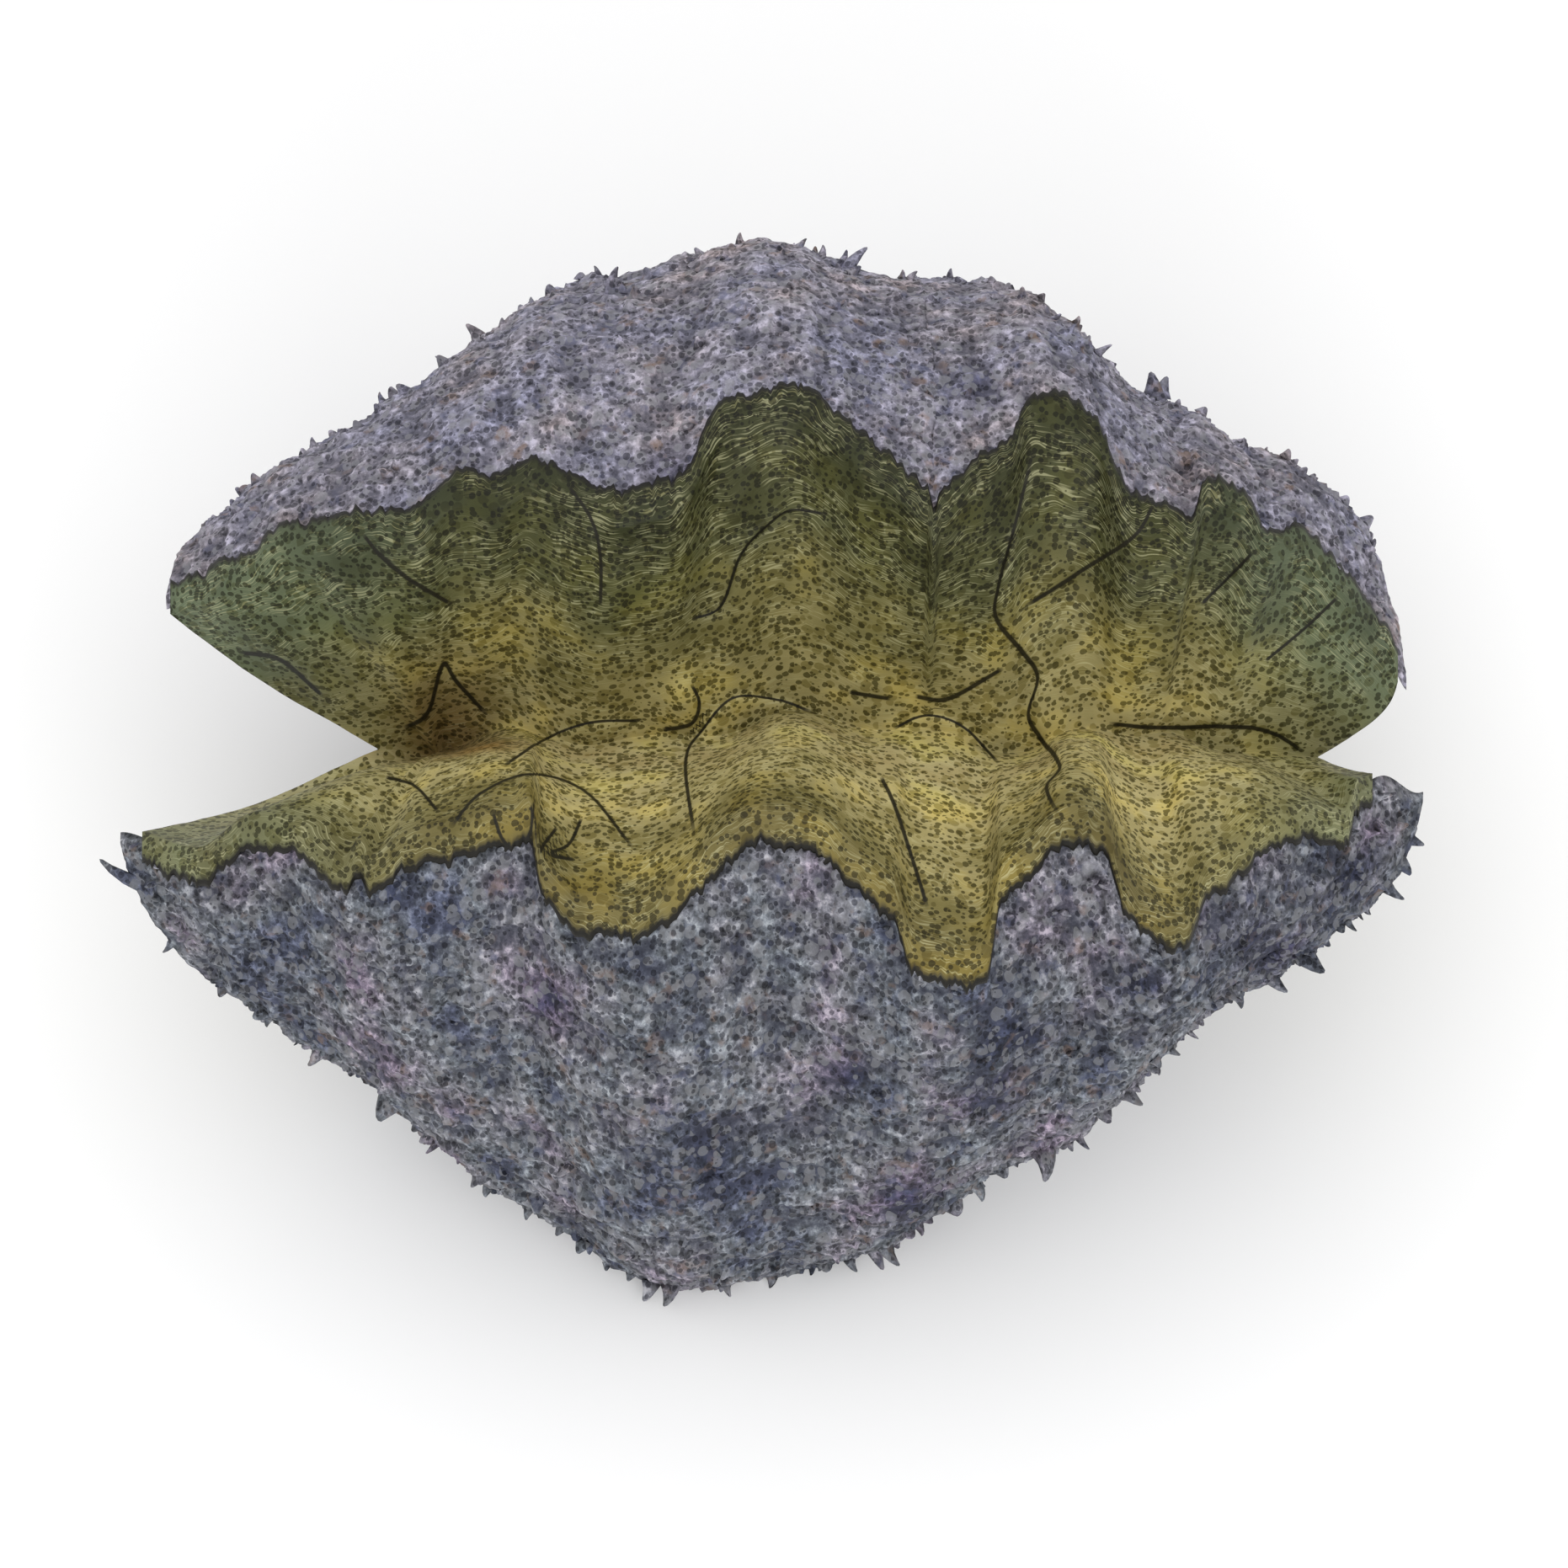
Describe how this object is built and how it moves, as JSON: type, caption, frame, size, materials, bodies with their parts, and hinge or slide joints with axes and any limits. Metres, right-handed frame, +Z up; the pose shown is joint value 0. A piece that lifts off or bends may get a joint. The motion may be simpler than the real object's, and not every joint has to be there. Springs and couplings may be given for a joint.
{
  "type": "giant clam",
  "caption": "Whole open giant clam: two deeply fluted, scaly valves joined at the hinge, with a folded mantle filling the gape. It stands on its worn underside.",
  "frame": {"origin": "on the ground, at the middle of the clam's outline seen from above", "axes": "+X along the hinge to the viewer's right, -Y to the front, +Z up, the way the gape opens"},
  "size_m": [0.849, 0.6471, 0.5677],
  "materials": {
    "front_shell": "rough, encrusted",
    "back_shell": "rough, encrusted",
    "mantle": "soft satin",
    "ligament": "satin"
  },
  "bodies": {
    "root": {"front_valve": "front_shell", "back_valve": "back_shell", "mantle": "mantle", "ligament": "ligament"}
  },
  "joints": []
}
